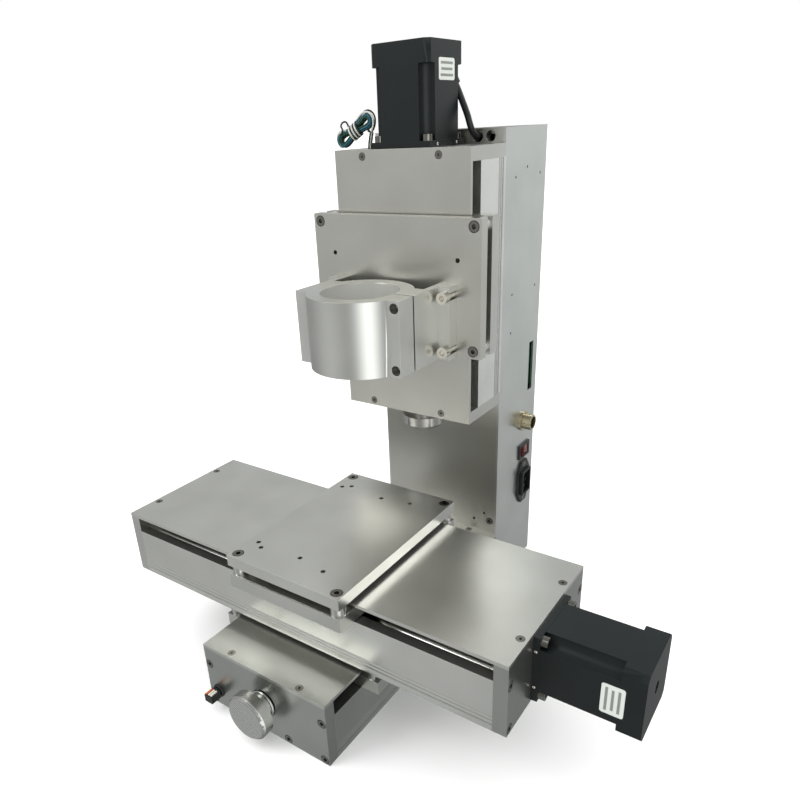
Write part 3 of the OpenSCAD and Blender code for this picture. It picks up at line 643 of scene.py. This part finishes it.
wires = {
    "sensor_wire_green": (
        wire_green,
        rise(0.8, 0.8)
        + [in_hank(8 * MM, 6.6 * MM, -2 * MM)]
        + turns([(4.0, 0), (0.8, 3), (0.8, 0), (0.8, -3)])[6:],
    ),
    "sensor_wire_teal": (
        wire_teal,
        rise(-0.8, 0.8)
        + [in_hank(8 * MM, 5.6 * MM, -3 * MM)]
        + turns([(1.6, -1.5), (2.4, 3), (3.2, 1.5)])[6:],
    ),
    "sensor_wire_white": (
        wire_white,
        rise(0.8, -0.8)
        + arch(1.6, 0)
        + wound_round(-1.55 * MM)
        + [in_hank(s * MM, a * MM, b * MM)
           for s, a, b in ((-7.4, -4.6, 4.4), (-10.5, -6.8, 3.8), (-14, -7.8, 2.4),
                           (-17.4, -7, 1), (-20, -4, 0), (-20.8, 0, 0), (-19.4, 4.2, 0))]
        + turns([(1.6, 1.5), (2.4, -3)]),
    ),
    "sensor_wire_black": (
        wire_black,
        rise(-0.8, -0.8)
        + arch(0, 1.6)
        + wound_round(0)
        + [in_hank(s * MM, a * MM, b * MM)
           for s, a, b in ((-3, -8.4, 3.2), (-3.4, -10.8, 3.8), (-6.4, -11.8, 4.4),
                           (-9, -9.8, 5.2), (-8.4, -6, 6), (-10.5, -4.4, 5.2),
                           (-14.5, -5.2, 3.4), (-18.4, -4.6, 1.6), (-19.8, -0.8, 1.6),
                           (-18.2, 3.2, 1.4))]
        + turns([(2.4, 0), (3.2, -1.5)]),
    ),
}  # fmt: skip
stands_for = {"sensor_wire_white": "sensor_lead", "sensor_wire_green": "sensor_hank"}
for name, (material, points) in wires.items():
    wire = draw_cord(name, points, WIRE, material)
    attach(wire, "frame")
    if name in stands_for:
        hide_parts(stands_for[name])
    print(name, round(length_of(points), 3), "m,", len(points), "points")

# %% [markdown]
# ## Edges that catch the light
# A real plate's edges are broken with a file or a chamfer mill. The bevel is under 1 mm, but
# its bright line is what makes a plate look solid. The CAD meshes are loose triangles, so a
# copy is merged, its flat faces are joined, and the sharp edges of the copy are bevelled.
# The copy then stands for the CAD node. A weighted normal keeps the large faces flat.

# %% A helper that copies a node and breaks its edges
def put(name, bm, body, material):
    """Makes an object of a finished bmesh, riding on a body."""
    mesh = bpy.data.meshes.new(name)
    bm.to_mesh(mesh)
    bm.free()
    made = bpy.data.objects.new(name, mesh)
    bpy.context.scene.collection.objects.link(made)
    mesh.materials.append(material)
    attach(made, body)
    return made


def smooth_by_angle(made):
    """Smooth shading over the gentle edges only, with the large faces kept flat."""
    mesh = made.data
    mesh.polygons.foreach_set("use_smooth", [True] * len(mesh.polygons))
    mesh.set_sharp_from_angle(angle=math.radians(38))
    weigh = made.modifiers.new("weighted_normal", "WEIGHTED_NORMAL")
    weigh.keep_sharp = True
    weigh.weight = 80


def edged(node, width, material):
    """A copy of a CAD node with its sharp edges bevelled by width, standing for the node."""
    source = nodes[node]
    bm = bmesh.new()
    bm.from_mesh(source.data)
    bmesh.ops.remove_doubles(bm, verts=bm.verts, dist=1e-6)
    bmesh.ops.dissolve_limit(
        bm, angle_limit=math.radians(0.5), verts=bm.verts, edges=bm.edges, delimit={"NORMAL"}
    )
    edges = [
        e
        for e in bm.edges
        if len(e.link_faces) == 2
        and e.calc_face_angle(0) > math.radians(50)
        and e.is_convex
    ]
    bmesh.ops.bevel(
        bm,
        geom=edges,
        offset=width,
        offset_type="OFFSET",
        segments=2,
        profile=0.5,
        affect="EDGES",
        material=-1,
        clamp_overlap=True,
    )
    made = put(node + "_edged", bm, source["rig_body"], material)
    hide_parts(node)
    smooth_by_angle(made)
    return made


print("ready to edge", len(nodes), "nodes")

# %% [markdown]
# ## The plates, covers and channels
# The covers, the table and the head plate are brushed, most end plates and carriages are
# blasted, and the channels are extrusions. Each piece has its edge width in millimetres, its
# finish and its slot here.

# %% Plates, covers and channels
plates = {
    # The base's end plates and the cross module's right plate take the darker copy of the
    # blasted satin, whose colour is painted shade.
    "base_front_plate": (0.35, painted_shade_aluminium, "anodised_aluminium"),
    "base_rear_plate": (0.35, painted_shade_aluminium, "anodised_aluminium"),
    "base_cover": (0.3, brushed_along_y, "brushed_plate"),
    # The base's channel takes the darker copy of the extrusion, whose colour is painted shade.
    "base_channel": (0.25, painted_shade_extrusion_along_y, "anodised_aluminium"),
    "saddle_plate": (0.4, blasted_aluminium, "brushed_plate"),
    "saddle_carriage": (0.3, blasted_aluminium, "anodised_aluminium"),
    "cross_left_plate": (0.35, blasted_aluminium, "anodised_aluminium"),
    "cross_right_plate": (0.35, painted_shade_aluminium, "anodised_aluminium"),
    "cross_cover": (0.3, brushed_along_x, "brushed_plate"),
    "cross_channel": (0.25, extruded_along_x, "anodised_aluminium"),
    "table_plate": (0.4, brushed_along_x, "brushed_plate"),
    "table_carriage": (0.3, blasted_aluminium, "anodised_aluminium"),
    "upright_top_plate": (0.35, blasted_aluminium, "anodised_aluminium"),
    "upright_bottom_plate": (0.35, blasted_aluminium, "anodised_aluminium"),
    "upright_cover": (0.3, brushed_along_z, "brushed_plate"),
    # The upright's channel takes the paler copy of the extrusion, whose colour is painted light.
    "upright_channel": (0.25, painted_light_extrusion_along_z, "anodised_aluminium"),
    "head_plate": (0.4, brushed_along_z, "brushed_plate"),
    "head_carriage": (0.3, blasted_aluminium, "anodised_aluminium"),
    "spindle_clamp": (0.4, clamp_aluminium, "anodised_aluminium"),
    "column_front_plate": (0.35, brushed_along_z, "anodised_aluminium"),
    "column_housing": (0.25, column_sheet, "anodised_aluminium"),
    "column_lid": (0.2, column_sheet, "anodised_aluminium"),
    "base_knob": (0.4, turned_about_y, "turned_aluminium"),
    "upright_knob": (0.4, turned_about_z, "turned_aluminium"),
    "base_motor": (0.5, black_paint, "black_motor"),
    "cross_motor": (0.5, black_paint, "black_motor"),
    "upright_motor": (0.5, black_paint, "black_motor"),
    "switch_bezel": (0.5, black_abs, "black_plastic"),
    "switch_rocker": (0.5, red_abs, "red_plastic"),
    "power_inlet": (0.4, black_abs, "black_plastic"),
    "signal_socket": (0.2, nickel_socket, "nickel_socket"),
}
faces = 0
for node, (width, material, slot) in plates.items():
    faces += len(edged(node, width * MM, material).data.polygons)
print(len(plates), "nodes edged,", faces, "faces")

# %% [markdown]
# ## The rest of the metal
# Rods, screws, couplers, nuts and bearings keep their CAD meshes and get their own metal.

# %% Materials for the nodes that keep their CAD mesh
kept = {
    "base_guide_rods": ground_steel, "cross_guide_rods": ground_steel,
    "upright_guide_rods": ground_steel, "frame_bearings": ground_steel,
    "cross_bearing": ground_steel, "base_motor_shaft": ground_steel,
    "cross_motor_shaft": ground_steel, "upright_motor_shaft": ground_steel,
    "base_lead_screw": thread_along_y, "cross_lead_screw": thread_along_x,
    "upright_lead_screw": thread_along_z, "base_coupler": turned_about_y,
    "cross_coupler": turned_about_y, "upright_coupler": turned_about_z,
    "saddle_nut": bronze, "table_nut": bronze, "head_nut": bronze,
    "cross_screws": socket_screw, "table_screws": socket_screw, "head_screws": socket_screw,
    "frame_screws": socket_screw, "clamp_screws": socket_screw,
    "clamp_mount_screws": chrome_screw, "power_supply": zinc_sheet,
    "controller_board": green_lacquer, "front_plug": black_abs,
}  # fmt: skip
for node, material in kept.items():
    nodes[node].data.materials.clear()
    nodes[node].data.materials.append(material)
print(len(kept), "nodes keep their mesh")

# %% [markdown]
# ## Motor labels and set screws
# Each of the two visible motors carries a small pale label near its rear end, on the side that
# faces the viewer, and two set screws in the edge of its flange. A label is a thin film with
# round corners, so it starts as one face whose corners are bevelled and which is then extruded.
# Its print is only three grey bars. All are made lying in the motor's own directions: along
# its axis, across it, and out of the face.

# %% Labels and set screws on the motors
LABEL_LONG, LABEL_WIDE, FILM = 16 * MM, 25 * MM, 0.15 * MM
LABEL_CORNER = 1.8 * MM
LABEL_FROM_FLANGE = 57 * MM
BARS = ((-4.4, 20), (0, 17.5), (4.4, 19))  # place along the label and width, in millimetres
BAR_HIGH, BAR_CORNER, INK = 1.9 * MM, 0.3 * MM, 0.04 * MM
SET_SCREW_R, SET_SCREW_APART, SET_SCREW_IN = 1.25 * MM, 32 * MM, 2.2 * MM
PROUD = 0.3 * MM  # a set screw stands out from the flange, whose edge is as far past the body


def film(centre, along_axis, across_axis, size, corner, thick):
    """A thin sheet with round corners, as a bmesh."""
    bm = bmesh.new()
    out = along_axis.cross(across_axis)
    ends = [(-1, -1), (1, -1), (1, 1), (-1, 1)]
    corners = [
        bm.verts.new(centre + along_axis * a * size[0] / 2 + across_axis * b * size[1] / 2)
        for a, b in ends
    ]
    bm.faces.new(corners)
    bmesh.ops.bevel(
        bm,
        geom=corners,
        offset=corner,
        offset_type="OFFSET",
        segments=5,
        profile=0.5,
        affect="VERTICES",
        material=-1,
    )
    grown = bmesh.ops.extrude_face_region(bm, geom=list(bm.faces), use_keep_orig=True)
    raised = [v for v in grown["geom"] if isinstance(v, bmesh.types.BMVert)]
    bmesh.ops.translate(bm, verts=raised, vec=out * thick)
    bmesh.ops.recalc_face_normals(bm, faces=bm.faces)
    return bm


def dress_motor(name, body, flange_at, axis, across_axis):
    """Puts a label and two set screws on a motor. flange_at is on the face, at the flange."""
    out = axis.cross(across_axis)
    middle = flange_at + axis * LABEL_FROM_FLANGE
    label_size = (LABEL_LONG, LABEL_WIDE)
    label = film(middle, axis, across_axis, label_size, LABEL_CORNER, FILM)
    put(name + "_label", label, body, label_foil)
    for row, width in BARS:
        place = middle + axis * row * MM + out * FILM
        bar = film(place, axis, across_axis, (BAR_HIGH, width * MM), BAR_CORNER, INK)
        put(f"{name}_label_bar_{int(row * 10 + 50)}", bar, body, label_ink)
    screws = bmesh.new()
    flat = Vector([1 - 0.6 * abs(o) for o in out])
    for side in (-0.5, 0.5):
        made = bmesh.ops.create_uvsphere(
            screws, u_segments=20, v_segments=10, radius=SET_SCREW_R
        )
        bmesh.ops.scale(screws, verts=made["verts"], vec=flat)
        place = flange_at + axis * SET_SCREW_IN + across_axis * side * SET_SCREW_APART
        bmesh.ops.translate(screws, verts=made["verts"], vec=place + out * PROUD)
    smooth_by_angle(put(name + "_set_screws", screws, body, chrome_screw))


X_AXIS, Y_AXIS, Z_AXIS = Vector((1, 0, 0)), Vector((0, 1, 0)), Vector((0, 0, 1))
upright_low, upright_high = [Vector(c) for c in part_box("upright_motor")]
cross_low, cross_high = [Vector(c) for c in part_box("cross_motor")]
upright_plate_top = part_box("upright_top_plate")[1][2]
cross_plate_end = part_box("cross_right_plate")[1][0]
upright_face = Vector(
    (upright_high.x - PROUD, (upright_low.y + upright_high.y) / 2, upright_plate_top)
)
cross_face = Vector((cross_plate_end, cross_low.y + PROUD, (cross_low.z + cross_high.z) / 2))
dress_motor("upright_motor", "frame", upright_face, Z_AXIS, -Y_AXIS)
dress_motor("cross_motor", "saddle", cross_face, X_AXIS, Z_AXIS)
print("label", LABEL_LONG * 1000, "by", LABEL_WIDE * 1000, "mm")

# %% [markdown]
# ## The grommet and the plug's contacts
# A small plug sits in the base's front plate, in a rubber grommet: a soft ring with a round
# lip, which is a small circle spun round the hole's axis. The plug's open side shows a row of
# one orange and two ivory contacts, which are short rounded bars.

# %% Grommet and contacts
GROMMET_R, LIP_R = 5 * MM, 1.3 * MM
CONTACT = Vector((1.8, 7.0, 1.4)) * MM
CONTACT_EDGE = 0.4 * MM
plug_low, plug_high = [Vector(c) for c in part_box("front_plug")]
front_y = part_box("base_front_plate")[0][1]
plug_x, plug_z = (plug_low.x + plug_high.x) / 2, (plug_low.z + plug_high.z) / 2


def ring(bm, centre, axis, radius, thick, steps):
    """A closed round ring about an axis along Y or X, added to the bmesh."""
    start = bmesh.ops.create_circle(bm, segments=12, radius=thick)["verts"]
    for v in start:
        v.co = centre + Z_AXIS * (radius + v.co.x) + axis * v.co.y
    edges = list({e for v in start for e in v.link_edges})
    bmesh.ops.spin(
        bm,
        geom=start + edges,
        cent=centre,
        axis=axis,
        angle=2 * math.pi,
        steps=steps,
        use_merge=True,
    )
    bmesh.ops.recalc_face_normals(bm, faces=bm.faces)


grommet = bmesh.new()
ring(grommet, Vector((plug_x, front_y - 0.6 * MM, plug_z)), Y_AXIS, GROMMET_R, LIP_R, 40)
smooth_by_angle(put("lead_grommet", grommet, "frame", black_pvc))

for i, (material, shift) in enumerate(((orange_abs, -2.6), (ivory_abs, 0), (ivory_abs, 2.4))):
    bar = bmesh.new()
    made = bmesh.ops.create_cube(bar, size=1.0)
    bmesh.ops.scale(bar, verts=made["verts"], vec=CONTACT)
    bmesh.ops.bevel(
        bar,
        geom=list(bar.edges),
        offset=CONTACT_EDGE,
        offset_type="OFFSET",
        segments=3,
        profile=0.5,
        affect="EDGES",
        material=-1,
    )
    place = Vector((plug_x + shift * MM, plug_low.y + 4.5 * MM, plug_high.z + 0.1 * MM))
    bmesh.ops.translate(bar, verts=bar.verts, vec=place)
    smooth_by_angle(put(f"plug_contact_{i + 1}", bar, "frame", material))
print("grommet at", round(plug_x, 4), round(front_y, 4), round(plug_z, 4))

# %% [markdown]
# ## The socket's thread and the knob's ring
# The round signal socket has a coarse thread on its barrel for the cable's nut, and the base
# knob has a ground steel ring round its neck, next to the end plate. The thread is drawn as
# separate ridges, and all are the same small round ring.

# %% Socket thread and neck ring
RIDGES, RIDGE_STEP, RIDGE_START = 6, 1.35 * MM, 1.2 * MM
RIDGE_R, RIDGE_THICK = 8 * MM, 0.42 * MM
NECK_RING_R, NECK_RING_THICK = 11.4 * MM, 1.3 * MM
socket_middle, socket_end = middle_of("signal_socket"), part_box("signal_socket")[1][0]
thread = bmesh.new()
for i in range(RIDGES):
    ridge = Vector((socket_end - RIDGE_START - RIDGE_STEP * i, *socket_middle.yz))
    ring(thread, ridge, X_AXIS, RIDGE_R, RIDGE_THICK, 48)
smooth_by_angle(put("socket_thread", thread, "frame", nickel_socket))

neck_ring = bmesh.new()
neck = Vector((base_knob_middle.x, front_y - 1.6 * MM, base_knob_middle.z))
ring(neck_ring, neck, Y_AXIS, NECK_RING_R, NECK_RING_THICK, 64)
smooth_by_angle(put("base_neck_ring", neck_ring, "base_drive", ground_steel))
print("socket thread of", RIDGES, "ridges")

# %% [markdown]
# ## Floor and light
# A wide pale floor and a white surround stand in for a photo tent. Metal shows only what it
# mirrors, so the surround isn't even: it is bright to the right and behind, dimmer in front,
# and darker below the horizon, where a real room has its bench and floor. A wide, soft sun
# from above gives the floor its even white, and two soft boxes draw the bright lines on
# edges and round parts. The camera itself sees the surround as plain white.

# %% Floor
floor_mesh = bmesh.new()
bmesh.ops.create_circle(floor_mesh, cap_ends=True, segments=96, radius=60)
floor_data = bpy.data.meshes.new("floor")
floor_mesh.to_mesh(floor_data)
floor_mesh.free()
floor = bpy.data.objects.new("floor", floor_data)
bpy.context.scene.collection.objects.link(floor)
floor_paint, floor_tree = new_material("pale_floor")
floor_shader = add(
    floor_tree,
    "ShaderNodeBsdfPrincipled",
    {"Base Color": linear("F6F6F5"), "Roughness": 0.8, "Specular IOR Level": 0.0},
)
add(floor_tree, "ShaderNodeOutputMaterial", {"Surface": floor_shader.outputs[0]})
floor_data.materials.append(floor_paint)
floor.visible_glossy = False
print("floor", round(floor.dimensions.x, 1), "m across")

# %% The surround
sky = bpy.data.worlds.new("studio")
bpy.context.scene.world = sky
sky.use_nodes = True
tree = sky.node_tree
tree.nodes.clear()
way = add(tree, "ShaderNodeTexCoord").outputs["Generated"]


def patch(direction, narrow, strength, tall=1.0):
    """A soft bright patch of the surround, round a direction, drawn out upright by tall.

    The patch is the smaller, the larger narrow is."""
    squash = Vector((1, 1, 1 / tall))
    aimed = add(tree, "ShaderNodeVectorMath", {0: way, 1: squash}, operation="MULTIPLY")
    level = add(tree, "ShaderNodeVectorMath", {0: aimed.outputs[0]}, operation="NORMALIZE")
    facing = add(
        tree,
        "ShaderNodeVectorMath",
        {0: level.outputs[0], 1: (Vector(direction) * squash).normalized()},
        operation="DOT_PRODUCT",
    ).outputs["Value"]
    front = add(tree, "ShaderNodeMath", {0: facing, 1: 0.0}, operation="MAXIMUM").outputs[0]
    fall = add(tree, "ShaderNodeMath", {0: front, 1: narrow}, operation="POWER").outputs[0]
    return add(tree, "ShaderNodeMath", {0: fall, 1: strength}, operation="MULTIPLY").outputs[0]


def total(values):
    """The sum of several node outputs."""
    result = values[0]
    for value in values[1:]:
        result = add(tree, "ShaderNodeMath", {0: result, 1: value}, operation="ADD").outputs[0]
    return result


height = add(tree, "ShaderNodeSeparateXYZ", {"Vector": way}).outputs["Z"]
above = add(
    tree,
    "ShaderNodeMapRange",
    {"Value": height, "From Min": -0.6, "From Max": 0.0, "To Min": 0.24, "To Max": 0.4},
    interpolation_type="SMOOTHSTEP",
).outputs["Result"]
glow = total(
    [
        above,
        patch((0.42, 0.9, -0.05), 5, 0.45),
        patch((-0.5, 0.65, 0.58), 4, 0.3),
        patch((-0.5, -0.62, -0.6), 5, 0.35),
        patch((-0.55, -0.83, 0.0), 5, 0.15),
        patch((0.76, -0.62, -0.2), 14, 2.1, 3.0),
    ]
)
studio = add(tree, "ShaderNodeBackground", {"Color": linear("F8FAFB"), "Strength": glow})
plain = add(tree, "ShaderNodeBackground", {"Color": linear("FFFFFF"), "Strength": 1.0})
seen = add(tree, "ShaderNodeLightPath").outputs["Is Camera Ray"]
mixed = add(
    tree, "ShaderNodeMixShader", {0: seen, 1: studio.outputs[0], 2: plain.outputs[0]}
).outputs[0]
add(tree, "ShaderNodeOutputWorld", {"Surface": mixed})
print("surround of", len(tree.nodes), "nodes")


# %% Sun and soft boxes
def soft_box(name, place, aim, size, power):
    """A square soft box at place, facing aim."""
    data = bpy.data.lights.new(name, "AREA")
    data.shape = "SQUARE"
    data.size = size
    data.energy = power
    made = bpy.data.objects.new(name, data)
    made.location = place
    made.rotation_euler = (Vector(aim) - Vector(place)).to_track_quat("-Z", "Y").to_euler()
    bpy.context.scene.collection.objects.link(made)


centre = (cad_low + cad_high) / 2
soft_box("box_front_left", (-0.9, -1.2, 1.5), centre, 0.9, 12)
soft_box("box_back_right", (1.3, 1.5, 1.5), centre, 0.9, 12)
sun_data = bpy.data.lights.new("wide_sun", "SUN")
sun_data.angle = math.radians(110)
sun_data.energy = 3.2
sun = bpy.data.objects.new("wide_sun", sun_data)
sun.location = (0, 0, 2)
sun.visible_glossy = False
bpy.context.scene.collection.objects.link(sun)
bpy.context.scene.view_settings.view_transform = "Standard"
